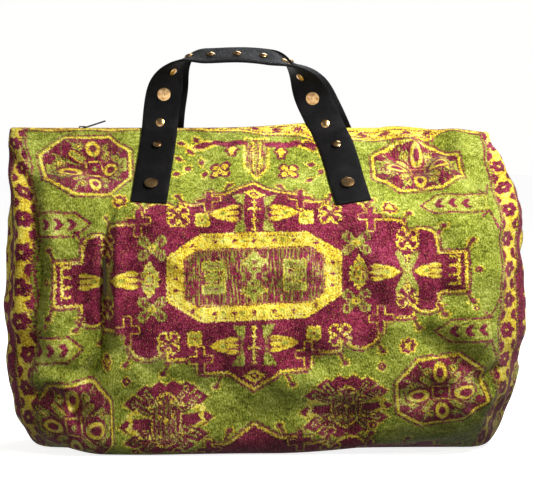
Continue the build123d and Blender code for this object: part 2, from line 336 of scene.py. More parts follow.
def bar(x, y, x1, y1, x2, y2, half):
    dx, dy = x2 - x1, y2 - y1
    t = np.clip(((x - x1) * dx + (y - y1) * dy) / (dx * dx + dy * dy), 0, 1)
    return np.hypot(x - x1 - t * dx, y - y1 - t * dy) - half


def outline(x, y, points):
    """Signed distance to a closed polygon, negative inside."""
    points = np.asarray(points, float)
    d = np.full(np.shape(x), 1e9)
    inside = np.zeros(np.shape(x), bool)
    for (x1, y1), (x2, y2) in zip(points, np.roll(points, -1, axis=0)):
        d = union(d, bar(x, y, x1, y1, x2, y2, 0))
        if y1 != y2:
            crosses = (y1 > y) != (y2 > y)
            inside ^= crosses & (x < (x2 - x1) * (y - y1) / (y2 - y1) + x1)
    return np.where(inside, -d, d)


def line_of(x, y, points, half):
    """A drawn line through several points."""
    return union(*[bar(x, y, *start, *end, half) for start, end in zip(points, points[1:])])


def cut_corners(hx, hy, kx, ky):
    """An oblong of half size hx, hy whose flat sides reach kx, ky from its middle."""
    return [(-hx, -ky), (-kx, -hy), (kx, -hy), (hx, -ky), (hx, ky), (kx, hy), (-kx, hy), (-hx, ky)]


def band(d, middle, half):
    """A line that runs along the outline d, middle from it."""
    return np.abs(d - middle) - half


class Pile:
    """Layers of colour on the cloth, each a distance that is negative where its colour shows."""

    LAYERS = ("ground", "yellow", "wine", "leaf", "spark")

    def __init__(self, p, q):
        self.p, self.q = p, q
        self.field = {name: np.full(p.shape, FAR) for name in self.LAYERS}
        self.field["mottle"] = np.zeros(p.shape)

    def near(self, cx, cy, reach, flip=1, turn=0.0):
        """The cloth round a motif's middle: which points, and their place in the motif."""
        pick = (np.abs(self.p - cx) < reach) & (np.abs(self.q - cy) < reach)
        x, y = (self.p[pick] - cx) * flip, self.q[pick] - cy
        if turn:
            c, s = math.cos(turn), math.sin(turn)
            x, y = c * x + s * y, c * y - s * x
        return pick, x, y

    def pair(self, cx, cy, reach, turn=0.0):
        """The same round a motif and round its mirror image."""
        for flip in SIDES:
            yield self.near(cx * flip, cy, reach, flip, turn)

    def put(self, pick, **shapes):
        """Adds a shape to each layer that is named."""
        for layer, d in shapes.items():
            self.field[layer][pick] = np.minimum(self.field[layer][pick], d)

    def clear(self, layer, pick, d):
        self.field[layer][pick] = np.maximum(self.field[layer][pick], -d)

    def mottle(self, pick, d, amount):
        old = self.field["mottle"][pick]
        self.field["mottle"][pick] = np.where(d < 0, amount, old)


ALL = slice(None)


def around(count, start):
    """Directions spread evenly round a circle."""
    turns = [start + k * math.pi * 2 / count for k in range(count)]
    return [(math.cos(t), math.sin(t)) for t in turns]


def draw_medallion(pile, cy):
    """The stepped medallion: its outline in wine and yellow, hooks and crosses at its steps."""
    x, y = np.abs(pile.p), pile.q - cy
    upper = [(28, -97), (48, -97), (49, -85), (78, -85), (79, -76), (119, -76), (120, -61),
             (157, -60), (158, -42), (191, -42), (192, -24), (218, -24)]
    lower = [(218, 22), (193, 22), (192, 34), (168, 34), (167, 48), (131, 48), (130, 70),
             (92, 70), (91, 81), (56, 81), (55, 98), (29, 98)]
    right = [(0, -114), *upper, *lower, (0, 117)]
    d = outline(x, y, right + [(-5, 117), (-5, -114)])
    pile.put(ALL, ground=d - 1.0, yellow=band(d, -1.4, 1.35), wine=band(d, 1.6, 0.9))
    pile.mottle(ALL, d, 0.02)
    # The collars: rounded shoulders that the outline makes over its longer steps.
    for cx, y0, sign in ((99, -76, -1), (174, -42, -1), (111, 70, 1), (180, 34, 1)):
        for pick, a, b in pile.pair(cx, cy + y0, 30):
            out = b * sign
            bow = np.hypot(a, out + 11.6) - 20.6
            for layer in ("yellow", "wine"):
                pile.clear(layer, pick, np.where(out > -4, bow, FAR))
            pile.put(pick, ground=np.where(out > -1, bow, FAR),
                     yellow=np.where(out > -3, band(bow, -1.4, 1.3), FAR),
                     wine=np.where(out > 0, band(bow, 1.6, 0.9), FAR))
    for cx, y0 in ((48, -88), (121, -62), (132, 48), (56, 82)):
        for pick, a, b in pile.pair(cx, cy + y0, 26):
            cross = union(block(a, b, 1.9, 13), block(a, b + 1, 11, 1.9))
            pile.clear("yellow", pick, cross - 2.0)
            pile.put(pick, wine=union(cross - 0.6, band(cross, 3.7, 0.5)), yellow=band(cross, 1.9, 0.9))
    for cx, y0 in ((79, -68), (89, 62), (159, -38), (159, 24)):
        for pick, a, b in pile.pair(cx, cy + y0, 24, math.pi / 4):
            knot = union(block(a, b, 2.0, 9), block(a, b, 9, 2.0))
            for side in SIDES:
                knot = union(knot, ellipse(a, b - 9 * side, 4.2, 3), ellipse(a - 9 * side, b, 3, 4.2))
            pile.put(pick, yellow=band(knot, 0.6, 0.95), wine=knot + 1.0, leaf=np.hypot(a, b) - 2.4)
    hooks = ((76, -88, 1, -1), (118, -80, 1, -1), (157, -64, 1, -1), (192, -47, 1, -1), (219, -30, 1, -1),
             (219, 27, 1, 1), (193, 40, 1, 1), (168, 54, 1, 1), (130, 77, 1, 1), (91, 88, 1, 1),
             (30, -103, -1, -1), (36, 106, 1, 1))
    for cx, y0, sx, sy in hooks:
        for pick, a, b in pile.pair(cx, cy + y0, 16):
            hook = line_of(a * sx, b * sy, [(-2, -6), (1, 1), (4, 5)], 1.2)
            hook = union(hook, ellipse(a * sx - 4, b * sy - 5.5, 3.2, 2.4))
            pile.put(pick, wine=hook, yellow=band(hook, 1.3, 0.7))


def draw_tulip(pile, cx, cy, face, size=1.0):
    """A three-lobed flower lying on its side, open towards face."""
    pick, a, b = pile.near(cx, cy, 26 * size, face)
    a, b = a / size, b / size
    shape = union(ellipse(a + 2, b, 8, 7), lozenge(a + 8, b, 9, 6))
    shape = union(shape, *[ellipse(a - 7, b - 6.3 * k, 7, 2.9) for k in (-1, 0, 1)]) * size
    pile.put(pick, yellow=shape, leaf=ellipse(a + 2, b, 3.5, 2.2) * size)
    veins = union(block(a - 6, b - 3.3, 6, 0.7), block(a - 6, b + 3.3, 6, 0.7))
    pile.put(pick, wine=union(veins, band(shape / size, 1.2, 0.6)) * size)


def draw_cushion(pile, cx, cy):
    """An ornate oval with a toothed edge."""
    pick, a, b = pile.near(cx, cy, 26)
    angle = np.arctan2(b, a)
    shape = ellipse(a, b, 10.0, 13.5) - 1.3 * np.cos(10 * angle)
    pile.put(pick, yellow=union(shape, lozenge(a, np.abs(b) - 16, 3.0, 3.6)),
             leaf=union(np.abs(ellipse(a, b, 7.5, 10)) - 1.4, ellipse(a, b, 2.6, 3.4)),
             wine=np.abs(ellipse(a, b, 4.6, 6.4)) - 0.6)


def draw_butterfly(pile, cx, cy):
    """Four mottled wings and a small yellow heart."""
    pick, a, b = pile.near(cx, cy, 24)
    half = 0.9 + 0.22 * np.hypot(a, b)
    wings = union(*[bar(a, b, 2 * sx, sy, 9 * sx, 7 * sy, half) for sx, sy in QUARTERS])
    pile.mottle(pick, wings - 1.5, 0.50)
    pile.put(pick, leaf=band(wings, 0.6, 0.6), yellow=union(ellipse(a, b, 3.4, 2.4), lozenge(a, b, 6, 5)),
             wine=ellipse(a, b, 1.1, 1.1))


def draw_cell(pile, cx, cy):
    """A rounded square of four cells."""
    pick, a, b = pile.near(cx, cy, 18)
    square = block(a, b, 5.3, 5.3) - 2.2
    pile.put(pick, yellow=square)
    cells = overlap(square + 2.3, -union(np.abs(a), np.abs(b)) + 1.0)
    pile.put(pick, leaf=cells, wine=ellipse(a, b, 1.7, 1.7))


def draw_spray(pile, cy, toward):
    """A green spray of four plumes about a yellow cross."""
    for pick, a, b in pile.pair(0, cy, 46):
        up = b * toward
        plume = outline(a, up, [(9, 22), (24, 22), (15, 4), (15, -4), (23, -22), (8, -20), (11, 0)])
        pile.mottle(pick, plume, 0.55)
        veins = np.abs(np.sin((np.abs(up) - 0.6 * a) * 0.8)) * 1.7
        pile.put(pick, leaf=overlap(plume + 0.8, 0.55 - veins))
        leaves = [block(a, up - k, 3.0, 1.0) for k in (-18, -9, 12, 19)]
        pile.put(pick, yellow=union(block(a, up, 0.9, 20), block(a, up - 3, 6.5, 1.1), *leaves))


def draw_cartouche(pile, cy):
    """The long yellow frame with dots, and the mottled panel inside it."""
    x, y = pile.p, pile.q - cy
    d = outline(x, y, cut_corners(91, 45.5, 55, 22.5))
    inner = outline(x, y, cut_corners(72, 28, 59, 19))
    pile.clear("leaf", ALL, d - 1)
    pile.put(ALL, yellow=d)
    pile.clear("yellow", ALL, inner)
    pile.put(ALL,
             wine=union(band(inner, 1.0, 0.8), overlap(band(d, -3.2, 0.45), np.cos((x + y) * 1.3) - 0.2)),
             leaf=overlap(band(d, -5.2, 0.5), -np.cos((x - y) * 1.1) - 0.1))
    pile.mottle(ALL, inner, 0.44)
    dots = [(20.5 * k, s * 37) for k in range(-2, 3) for s in SIDES]
    dots += [(sx * 81.5, 12 * sy) for sy, sx in QUARTERS] + [(-81.5, 0), (81.5, 0)]
    dots += [(sx * 64, sy * 33) for sx, sy in QUARTERS]
    for dx, dy in dots:
        pick, a, b = pile.near(dx, cy + dy, 9)
        pile.put(pick, wine=lozenge(a, b, 3.3, 2.6))
        pick, a, b = pile.near(dx * 1.001 + 9, cy + dy, 5)
        if abs(dy) > 20 and dx < 40:
            pile.put(pick, leaf=lozenge(a, b, 2.6, 2.6))
    # The knot in the middle, with a flower and a comb to each side.
    pick, a, b = pile.near(0, cy, 64)
    knot = union(*[ellipse(a - 7 * side, b, 7.5, 5) for side in SIDES],
                 *[ellipse(a, b - 11 * side, 6, 7.5) for side in SIDES])
    pile.put(pick, leaf=band(knot, -0.6, 1.3))
    cap = union(ellipse(a, np.abs(b) - 15, 11, 4.5), lozenge(a, np.abs(b) - 21, 5, 5))
    pile.put(pick, leaf=cap, yellow=union(band(cap, 0.2, 0.6), ellipse(a, b, 2.4, 2.0)))
    a, b = np.abs(a), np.abs(b)
    pile.put(pick, wine=union(bar(a, b, 3, 1.5, 11, 6, 1.3), lozenge(a - 16, b, 5, 4),
                              ellipse(a, b - 15, 2.6, 1.8)))
    for pick, a, b in pile.pair(42, cy, 28):
        comb = union(block(a, b, 9, 1.4), block(a, np.abs(b) - 12, 11, 3.4) - 1,
                     block(a + 10, b, 1.6, 13), ellipse(a - 2, b, 6.5, 5.5))
        pile.mottle(pick, comb, 0.62)
        pile.put(pick, leaf=overlap(comb + 0.4, 0.9 - np.abs(np.sin(a * 0.55)) * 1.6),
                 yellow=union(band(comb, -0.3, 0.7), ellipse(a - 2, b, 3, 2.4)),
                 wine=union(ellipse(a - 2, b, 1.2, 1.2), block(a, np.abs(b) - 12, 6, 0.6),
                            line_of(a, np.abs(b), [(14, 0), (19, 6), (25, 2)], 0.9)))


def draw_end_motif(pile, cy):
    """The flowers and the comb in both narrow ends of the medallion."""
    for flip in SIDES:
        draw_tulip(pile, 135 * flip, cy, -flip, 1.05)
        draw_tulip(pile, 181 * flip, cy, flip, 0.95)
    for pick, a, b in pile.pair(159, cy, 30):
        plumes = union(*[bar(a, b, 1.5 * sx, 3 * sy, 9 * sx, 19 * sy, 2.9) for sx, sy in QUARTERS])
        pile.mottle(pick, plumes - 1, 0.55)
        pile.put(pick, leaf=overlap(plumes, 0.5 - np.abs(np.sin((np.abs(b) - 0.5 * a) * 0.85)) * 1.6))
        stem = union(block(a, b, 1.0, 18), block(a, b, 6, 1.1))
        pile.put(pick, yellow=union(stem, block(a, np.abs(b) - 16, 3, 1.2)))
    for pick, a, b in pile.pair(207, cy, 26):
        teeth = [block(a + 1, b - k, 5, 1.3) for k in (-15, -5, 5, 15)]
        pile.put(pick, yellow=union(block(a - 3, b, 1.2, 16), *teeth))


def draw_rosette(pile, cx, cy, size, kind):
    """Small flowers in the field: a ring, or four petals, or a spot."""
    pick, a, b = pile.near(cx, cy, 24 * size)
    a, b = a / size, b / size
    r, angle = np.hypot(a, b), np.arctan2(b, a)
    if kind == "ring":
        pile.put(pick, yellow=(r - 9.5 - 1.2 * np.cos(8 * angle)) * size,
                 wine=(np.abs(r - 5.6 - 1.1 * np.cos(8 * angle)) - 1.9) * size, spark=(r - 2.0) * size)
    elif kind == "petals":
        petals = r - 6.5 - 5.2 * np.abs(np.cos(2 * angle + math.pi / 2)) * union(r / 5, 1)
        pile.put(pick, ground=petals * size)
        for c, s in around(4, math.pi / 4):
            pile.put(pick, spark=ellipse(a - 5.6 * c, b - 5.6 * s, 3, 3) * size)
        pile.put(pick, spark=(r - 1.8) * size)
    else:
        pile.put(pick, yellow=band(r - 4.2, 1.4, 0.8) * size, wine=(r - 4.4) * size, spark=(r - 1.5) * size)


def draw_octagon(pile, cx, cy, hx, hy):
    """A corner octagon: wine and yellow lines round a dark mottled ground with ringed spots."""
    pick, a, b = pile.near(cx, cy, 66, 1, OCTAGON_TURN)
    d = outline(a, b, cut_corners(hx, hy, 0.46 * hx, 0.46 * hy))
    pile.put(pick, ground=d + 3.0, yellow=band(d, -2.0, 1.5), wine=band(d, 1.0, 1.0))
    pile.mottle(pick, d + 3, 0.27)
    rays = np.abs(np.sin(6 * np.arctan2(b, a))) * np.hypot(a, b) * 0.16 - 0.7
    pile.put(pick, leaf=overlap(rays, d + 5, 12 - np.hypot(a, b)))
    square = block(a, b, 7, 7)
    pile.put(pick, yellow=band(square, 0.9, 1.0),
             wine=union(band(square, -2.4, 1.6), band(square, 3.4, 0.9)),
             leaf=union(block(a, b, 0.8, 4.5), block(a, b, 4.5, 0.8)))
    for ox, oy, rx, ry in ((0, -24, 5, 9), (0, 24, 5, 9), (-23, 2, 9, 6), (23, 2, 9, 6)):
        e = ellipse(a - ox, b - oy * hy / 42, rx, ry)
        pile.put(pick, yellow=np.abs(e) - 1.9, wine=union(e + 2.0, band(e, 3.0, 0.7)))
    for c, s in around(8, math.pi / 8):
        ox, oy = 0.68 * hx * c, 0.68 * hy * s
        blob = ellipse(a - ox, b - oy, 5.2, 4.4)
        pile.put(pick, leaf=band(blob, -1.0, 1.1), spark=ellipse(a - ox, b - oy, 2.0, 1.8))
    for c, s in around(4, math.pi / 4):
        ox, oy = hx * 0.34 * c, hy * 0.42 * s
        petal = bar(a, b, 0.8 * ox, 0.8 * oy, 1.55 * ox, 1.55 * oy, 2.6)
        pile.put(pick, yellow=band(petal, 0.0, 1.0), leaf=petal + 1.0, wine=band(petal, 1.5, 0.6))
    for side in SIDES:
        pile.put(pick, leaf=block(a - side * 0.8 * hx, b, 3.5, 9) - 1,
                 wine=block(a - side * 0.8 * hx, b, 0.8, 7))


def draw_beetle(pile, cx, cy):
    """A dark flower like a beetle, with spread leaves."""
    for flip in SIDES:
        pick, a, b = pile.near(cx, cy, 56, flip)
        a = np.where(a > -0.6, a, 99)
        body = ellipse(a, b, 15, 24)
        leaves = body
        for ex, ey, w in ((33, -17, 5.5), (21, -27, 5), (39, 2, 4.6), (33, 17, 5.5), (20, 27, 5),
                          (7, -30, 5), (8, 30, 5)):
            leaves = union(leaves, bar(a, b, 7, 0.4 * ey, ex, ey, w * 0.6 + 0.05 * np.hypot(a, b)))
            leaves = union(leaves, lozenge(a - ex, b - ey, w + 4, w + 1))
        pile.put(pick, ground=leaves - 1.4,
                 yellow=overlap(band(leaves, 2.3, 0.6), 0.4 - np.abs(np.sin(0.9 * (a + b)))))
        pile.mottle(pick, body, 0.34)
        pile.mottle(pick, overlap(leaves, -body), 0.10)
        for ex, ey in ((33, -17), (21, -27), (33, 17), (20, 27)):
            pile.put(pick, leaf=band(bar(a, b, 0.55 * ex, 0.55 * ey, ex, ey, 2.2), 0, 0.7))
        pile.put(pick, spark=line_of(a, np.abs(b + 1), [(36, 0), (40, 6), (31, 9)], 1.9))
        for ex, ey in ((17, -13), (17, 13), (7, -4), (6, 13), (6, -17), (28, -8), (27, 12)):
            pile.put(pick, spark=ellipse(a - ex, b - ey, 2.1, 1.9))
        pile.put(pick, spark=ellipse(a, b, 2.6, 2.6),
                 leaf=overlap(np.abs(np.sin(a * 0.62)) * 1.5 - 0.30, body + 3), yellow=band(body, 0.5, 0.6))


def draw_banner(pile, tip, root, cy, side):
    """A pointed banner out of the border with a row of chevrons."""
    half = 12.5
    pick, a, b = pile.near(0.5 * (tip + root) * side, cy, 0.5 * (root - tip) + 26, side)
    a = a + 0.5 * (tip + root)
    shape = outline(a, b, [(tip, 0), (tip + 15, -half), (root, -half), (root, half), (tip + 15, half)])
    pile.put(pick, wine=np.where(a < root - 1, band(shape, 0.4, 1.2), FAR), leaf=shape + 2,
             yellow=np.where(a < root - 1, band(shape, -2.0, 0.9), FAR))
    for k in range(3):
        x0 = tip + 16 + 13 * k
        pile.put(pick, wine=overlap(np.abs(a - x0 - 0.75 * np.abs(b)) - 3.0, np.abs(b) - 6.5))
    pile.put(pick, wine=line_of(a, np.abs(b), [(root - 8, 20), (root - 1, 12), (root + 8, 34)], 1.1))


def draw_pendant(pile, top):
    """The stem that hangs from the top border to the medallion, with its arms and tassels."""
    pick, a, b = pile.near(2, top + 34, 84)
    b = b + 34
    stem = outline(a, b, [(-12, -4), (12, -4), (12, 36), (0, 52), (-12, 36)])
    pile.put(pick, ground=stem)
    pile.mottle(pick, stem, 0.5)
    pile.put(pick, yellow=band(stem, 0.4, 1.3), spark=overlap(np.abs(np.sin(a * 0.9)) * 1.4 - 0.4, stem + 4))
    for side in SIDES:
        s = a * side
        arm = line_of(s, b, [(12, 4), (30, 6), (44, 2)], 2.2)
        pile.put(pick, wine=arm - 1.4, yellow=arm)
        tassel = union(lozenge(s - 26, b - 14, 7, 8), block(s - 26, b - 20, 3.5, 3))
        pile.put(pick, wine=tassel - 1.2, spark=tassel + 1.5)
        gem = lozenge(s - 56, b - 4, 22, 8)
        pile.put(pick, yellow=gem, wine=gem + 3)


def draw_sprigs(pile, cx, cy, flip):
    """Loose leaves and buds beside a strap."""
    buds = ((0, -16), (10, -9), (22, 3), (8, 10), (-4, 18), (-2, 1), (16, -20), (26, 16))
    for k, (dx, dy) in enumerate(buds):
        pick, a, b = pile.near(cx + dx * flip, cy + dy * 1.35, 14, flip, 0.7 * k)
        pile.put(pick, yellow=band(lozenge(a, b, 5.8, 3.8), 0.9, 0.8), wine=lozenge(a, b, 5.2, 3.2))


def draw_borders(pile):
    """Guard stripes, the yellow band of rosettes and the outer wine border, at both ends and the top."""
    p, q = pile.p, pile.q
    edge = np.where(p < 0, 238.0, 250.0)
    out = np.abs(p) - edge + 1.2 * np.sin(q * 0.12)
    for name in Pile.LAYERS:
        pile.clear(name, ALL, -out)
    pile.put(ALL,
             wine=union(band(out, 0.8, 0.9), overlap(band(out, 5.2, 1.3), 0.5 - np.abs(np.sin(0.8 * q))),
                        band(out, 27.0, 1.0), band(out, 86, 1.2)),
             yellow=union(overlap(4.0 - out, out - 27), overlap(88 - out, out - 130)),
             ground=overlap(28 - out, out - 84))
    pile.mottle(ALL, overlap(4.0 - out, out - 27), 0.06)
    pitch = 34.0
    row = np.round(q / pitch)
    b = q - row * pitch
    a = out - 14
    r, angle = np.hypot(a, b), np.arctan2(b, a)
    pile.put(ALL, wine=overlap(r - 9.0 - 1.2 * np.cos(6 * angle), np.abs(a) - 11))
    pile.clear("yellow", ALL, overlap(r - 6.2, np.abs(a) - 11))
    pile.put(ALL, leaf=overlap(np.abs(r - 5.0) - 1.2, np.abs(a) - 11), spark=r - 1.7)
    flank = np.hypot(np.abs(a) - 11, np.abs(b) - pitch / 2)
    pile.put(ALL, wine=overlap(flank - 6.4, np.abs(a) - 11),
             leaf=overlap(np.abs(flank - 3.2) - 0.7, np.abs(a) - 10.5))
    big = 62.0
    row = np.round(q / big)
    b = q - row * big
    a = out - 56
    r, angle = np.hypot(a, b * 0.9), np.arctan2(b, a)
    flower = r - 17 - 3.4 * np.cos(8 * angle)
    pile.put(ALL, yellow=flower, wine=union(np.abs(r - 11) - 1.4, band(r, 7, 0.7)), leaf=r - 7,
             spark=ellipse(a, b, 3, 3))
    # A last yellow stripe with its own small rosettes meets at the seam in each end.
    b = q - np.round(q / 26.0) * 26.0
    star = np.hypot(out - 100, b) - 5.2 - 1.3 * np.cos(5 * np.arctan2(b, out - 100))
    pile.put(ALL, wine=union(star, band(out, 112, 1.0)), leaf=np.hypot(out - 100, b) - 2.6)
    half_row = np.abs(q - row * big) - big / 2
    pile.put(ALL, yellow=overlap(band(lozenge(a, half_row, 20, 10), -1, 1.6), 28 - out))
    # Along the top the same guard stripes run beside the zip.
    top = pile.q + MEDALLION_DROP - 8
    reach = 3 + 15 * ramp(p, -60, 70) - 16 * ramp(p, 165, 215) + 1.2 * np.sin(p * 0.11)
    inside = np.abs(p) - edge
    strip = overlap(top - reach, inside)
    for name in ("ground", "leaf", "spark"):
        pile.clear(name, ALL, strip)
    pile.put(ALL, yellow=strip)
    for middle in (-12.5, -4.0, 0.8):
        pile.put(ALL, wine=overlap(band(top - reach, middle, 0.8), inside))
    k = np.round(p / 23)
    pile.put(ALL, wine=overlap(ellipse(p - 23 * k, top - reach + 8, 6, 2.4), inside))


MIDDLE = -3.0
FIELD_FLOWERS = (
    (160, 78, 1.0, "ring"), (133, 99, 0.9, "spot"), (124, 169, 0.9, "spot"), (36, -131, 1.15, "petals"),
    (227, MIDDLE, 0.75, "spot"), (226, 40, 0.6, "spot"),
)
# Middle and half size of each corner octagon.
OCTAGONS = ((-179, -138, 50, 45), (173, -138, 50, 38), (-199, 140, 50, 44), (194, 134, 47, 43))


def draw_pattern(u, v, rear):
    p, q = cloth_plane(u, v, rear)
    pile = Pile(p.ravel(), q.ravel())
    draw_medallion(pile, 0)
    draw_medallion(pile, MEDALLION_PITCH)
    for s in SIDES:
        draw_tulip(pile, 30 * s, -69, -s)
        draw_tulip(pile, 30 * s, 68, -s)
        draw_cell(pile, 54 * s, -64)
        draw_cell(pile, 62 * s, 59)
        draw_butterfly(pile, 106 * s, MIDDLE - 32)
        draw_butterfly(pile, 106 * s, MIDDLE + 30)
        draw_cushion(pile, 109 * s, MIDDLE)
    draw_spray(pile, -70, -1)
    draw_spray(pile, 68, 1)
    for cy in (-95, 101):
        pick, a, b = pile.near(0, cy, 16)
        pile.put(pick, yellow=np.abs(lozenge(a, b, 9, 6)) - 1.5, spark=lozenge(a, b, 2.5, 2))
    draw_cartouche(pile, MIDDLE)
    draw_end_motif(pile, MIDDLE)
    for octagon in OCTAGONS:
        draw_octagon(pile, *octagon)
    draw_beetle(pile, -92, 138)
    draw_beetle(pile, 96, 143)
    for side, tips in ((-1, (182, 190)), (1, (174, 188))):
        draw_banner(pile, tips[0], 240, -71 - 9 * side, side)
        draw_banner(pile, tips[1], 242, 64, side)
        draw_rosette(pile, 141 * side, -81 + 7 * side, 1.0, "ring")
        for cx, cy, size, kind in FIELD_FLOWERS:
            draw_rosette(pile, cx * side, cy, size, kind)
    draw_sprigs(pile, -78, -150, 1)
    draw_sprigs(pile, 62, -142, 1)
    draw_pendant(pile, -172)
    draw_borders(pile)
    return pile


# ---- materials


def node(tree, kind, **settings):
    n = tree.nodes.new(kind)
    for key, value in settings.items():
        setattr(n, key, value)
    return n


def linked(tree, target, value):
    """Puts a number or an output into a socket."""
    if isinstance(value, bpy.types.NodeSocket):
        tree.links.new(value, target)
    else:
        target.default_value = value


def fill(tree, n, **values):
    """Puts numbers and outputs into a node's sockets, with _ for the spaces in their names."""
    for name, value in values.items():
        linked(tree, n.inputs[name.replace("_", " ")], value)
    return n


def math_node(tree, operation, a, b):
    n = node(tree, "ShaderNodeMath", operation=operation)
    linked(tree, n.inputs[0], a)
    linked(tree, n.inputs[1], b)
    return n.outputs[0]


def remap(tree, value, low, high, out_low=0.0, out_high=1.0):
    n = node(tree, "ShaderNodeMapRange")
    fill(tree, n, Value=value, From_Min=low, From_Max=high, To_Min=out_low, To_Max=out_high)
    return n.outputs["Result"]


def noise(tree, vector, scale, detail=2.0, rough=0.5):
    n = node(tree, "ShaderNodeTexNoise")
    return fill(tree, n, Vector=vector, Scale=scale, Detail=detail, Roughness=rough).outputs["Fac"]


def stretched(tree, vector, scale):
    return fill(tree, node(tree, "ShaderNodeMapping"), Vector=vector, Scale=scale).outputs["Vector"]


def mix(tree, factor, a, b):
    n = node(tree, "ShaderNodeMix", data_type="RGBA")
    linked(tree, n.inputs[0], factor)
    linked(tree, n.inputs[6], a if isinstance(a, bpy.types.NodeSocket) else (*a, 1))
    linked(tree, n.inputs[7], b if isinstance(b, bpy.types.NodeSocket) else (*b, 1))
    return n.outputs[2]


def bump(tree, height, strength, distance):
    n = node(tree, "ShaderNodeBump")
    return fill(tree, n, Strength=strength, Distance=distance, Height=height).outputs["Normal"]


def plus(tree, a, b):
    return math_node(tree, "ADD", a, b)


def times(tree, a, b):
    return math_node(tree, "MULTIPLY", a, b)


def new_material(name):
    material = bpy.data.materials.new(name)
    material.use_nodes = True
    tree = material.node_tree
    return material, tree, tree.nodes["Principled BSDF"]


def position(tree):
    return node(tree, "ShaderNodeTexCoord").outputs["Object"]


GREEN = ((0.075, 0.085, 0.006), (0.31, 0.36, 0.036), (0.66, 0.70, 0.17))
WINE = ((0.042, 0.002, 0.011), (0.225, 0.014, 0.048), (0.46, 0.065, 0.145))
YELLOW = ((0.42, 0.20, 0.008), (0.95, 0.76, 0.060), (1.0, 1.0, 0.36))
# The dark colour mixed into the pile as painted shade towards the base.
BASE_SHADE_COLOUR = (0.012, 0.012, 0.004)
LEAF = ((0.10, 0.11, 0.010), (0.44, 0.46, 0.060), (0.84, 0.84, 0.26))


def pile_material():
    """Cut pile: woven fields of colour, tufts of uneven shade, jagged at every edge."""
    material, tree, shader = new_material("carpet_pile")

    def attribute(name, output="Fac"):
        n = node(tree, "ShaderNodeAttribute", attribute_type="GEOMETRY", attribute_name=name)
        return n.outputs[output]

    cloth = attribute("cloth", "Vector")
    tufts = noise(tree, stretched(tree, cloth, (1.0, 0.62, 1.0)), 0.62, 2.0, 0.65)
    clumps = noise(tree, cloth, 0.16, 3.0, 0.6)
    patches = noise(tree, cloth, 0.022, 3.0, 0.55)
    edge = noise(tree, cloth, 0.42, 2.0, 0.6)
    streak = noise(tree, stretched(tree, cloth, (1.0, 0.12, 1.0)), 0.55, 1.0)
    jag = plus(tree, remap(tree, edge, 0.3, 0.7, -1.3, 1.3), remap(tree, tufts, 0.3, 0.7, -0.7, 0.7))
    shade = remap(tree, tufts, 0.34, 0.66, 0.10, 0.74)
    shade = plus(tree, shade, remap(tree, clumps, 0.35, 0.65, -0.18, 0.22))
    shade = plus(tree, shade, remap(tree, patches, 0.35, 0.65, -0.20, 0.20))

    def shaded(colours):
        dark, middle, light = colours
        low = mix(tree, remap(tree, shade, 0.0, 0.5), dark, middle)
        return mix(tree, remap(tree, shade, 0.5, 1.0), low, light)

    def showing(name, soft=0.45):
        return remap(tree, math_node(tree, "SUBTRACT", jag, attribute(name)), -soft, soft)

    green, wine, yellow, leaf = shaded(GREEN), shaded(WINE), shaded(YELLOW), shaded(LEAF)
    # Leaf-coloured flecks in the wine ground, as many as the mottle says.
    fleck = remap(tree, plus(tree, remap(tree, streak, 0.3, 0.7), remap(tree, tufts, 0.3, 0.7)), 0.0, 2.0)
    amount = times(tree, attribute("mottle"), 0.95)
    speck = remap(tree, math_node(tree, "SUBTRACT", amount, fleck), -0.06, 0.06)
    colour = mix(tree, showing("ground"), green, mix(tree, speck, wine, leaf))
    for layer, dye in (("yellow", yellow), ("leaf", leaf), ("wine", wine), ("spark", yellow)):
        colour = mix(tree, showing(layer), colour, dye)
    stray = remap(tree, noise(tree, cloth, 0.95, 0.0), 0.72, 0.78, 0.0, 0.6)
    colour = mix(tree, stray, colour, YELLOW[1])
    # Painted shade: the pile's colour is darkened towards the base, where the belly turns away from the
    # light.
    down = fill(tree, node(tree, "ShaderNodeSeparateXYZ"), Vector=cloth).outputs["Y"]
    # How much painted shade falls on the pile, rising towards the base.
    painted_shade = remap(tree, plus(tree, down, remap(tree, patches, 0.3, 0.7, -22, 22)), 70, 190, 0.0, 0.42)
    colour = mix(tree, painted_shade, colour, mix(tree, 0.82, colour, BASE_SHADE_COLOUR))
    height = plus(tree, tufts, times(tree, clumps, 0.8))
    fill(tree, shader, Base_Color=colour, Roughness=0.92, Specular_IOR_Level=0.10, Sheen_Weight=0.10,
         Sheen_Roughness=0.45, Normal=bump(tree, height, 0.85, 0.0022))
    return material


def weave_material(name, dark, light, scale):
    """A plain woven cloth."""
    material, tree, shader = new_material(name)
    where = position(tree)
    warp = node(tree, "ShaderNodeTexWave", wave_type="BANDS", bands_direction="X")
    weft = node(tree, "ShaderNodeTexWave", wave_type="BANDS", bands_direction="Z")
    for wave in (warp, weft):
        fill(tree, wave, Vector=where, Scale=scale, Distortion=1.5)
    crossing = times(tree, warp.outputs["Fac"], weft.outputs["Fac"])
    tone = plus(tree, times(tree, crossing, 0.6), times(tree, noise(tree, where, 900, 3), 0.5))
    fill(tree, shader, Base_Color=mix(tree, tone, dark, light), Roughness=0.9,
         Normal=bump(tree, tone, 0.5, 0.0006))
    return material


def leather_material():
    """Matt black hide, finely grained, a little scuffed."""
    material, tree, shader = new_material("black_hide")
    where = position(tree)
    grain = node(tree, "ShaderNodeTexVoronoi", feature="DISTANCE_TO_EDGE")
    fill(tree, grain, Vector=where, Scale=620)
    cells = remap(tree, grain.outputs["Distance"], 0.0, 0.22)
    scuffs = noise(tree, where, 46, 5, 0.65)
    fine = noise(tree, where, 1500, 2)
    tone = remap(tree, scuffs, 0.45, 0.75)
    fill(tree, shader, Base_Color=mix(tree, tone, (0.0016, 0.0013, 0.0018), (0.0075, 0.0065, 0.0080)),
         Roughness=remap(tree, scuffs, 0.35, 0.7, 0.68, 0.52), Specular_IOR_Level=0.13,
         Normal=bump(tree, plus(tree, cells, times(tree, fine, 0.5)), 0.45, 0.0004))
    return material


